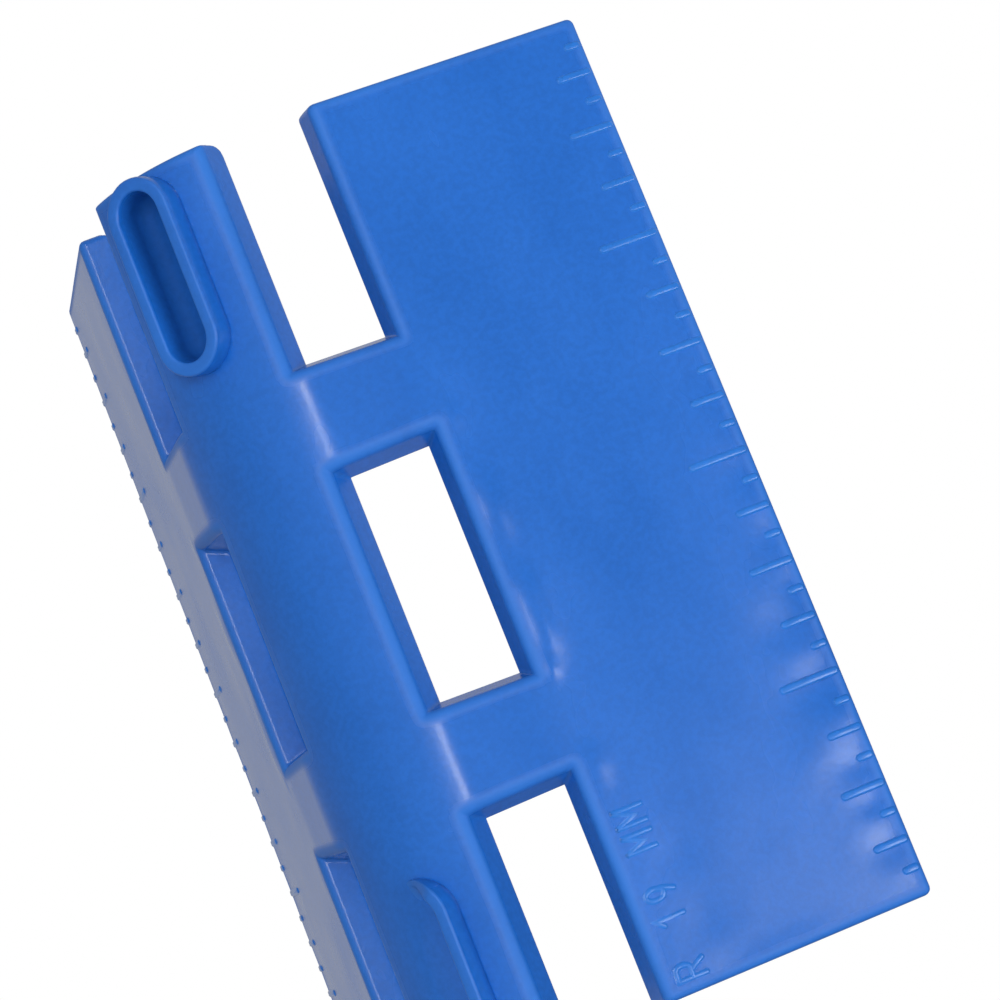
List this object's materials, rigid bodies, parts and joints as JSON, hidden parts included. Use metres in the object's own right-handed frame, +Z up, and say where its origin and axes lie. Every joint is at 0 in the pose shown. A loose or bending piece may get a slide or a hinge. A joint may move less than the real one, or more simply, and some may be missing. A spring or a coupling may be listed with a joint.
{
  "type": "radius corner gauge with ruled wings",
  "caption": "Right-angled moulded plastic corner gauge: a rounded slotted spine joined by bridges to flat wings with raised ruler marks.",
  "frame": {"origin": "centre of the bounding box in plan, at the lowest edges of the two wings", "axes": "+Z up through the rounded corner's crown, +Y along the corner from the lower end to the upper end, +X to the right-hand wing; the corner's two flat wings fall away at 45 degrees on each side"},
  "size_m": [0.0788, 0.1016, 0.0361],
  "materials": {
    "body_plastic": "satin injection-moulded blue",
    "raised_marks": "the same blue plastic, standing proud of the wing"
  },
  "bodies": {
    "root": {"corner_spine": "body_plastic", "right_wing": "body_plastic", "left_wing": "body_plastic", "right_upper_bridge": "body_plastic", "right_lower_bridge": "body_plastic", "left_upper_bridge": "body_plastic", "left_lower_bridge": "body_plastic", "upper_slot_collar": "body_plastic", "lower_slot_collar": "body_plastic", "right_scale_ticks": "raised_marks", "left_scale_ticks": "raised_marks", "size_mark": "raised_marks"}
  },
  "joints": []
}
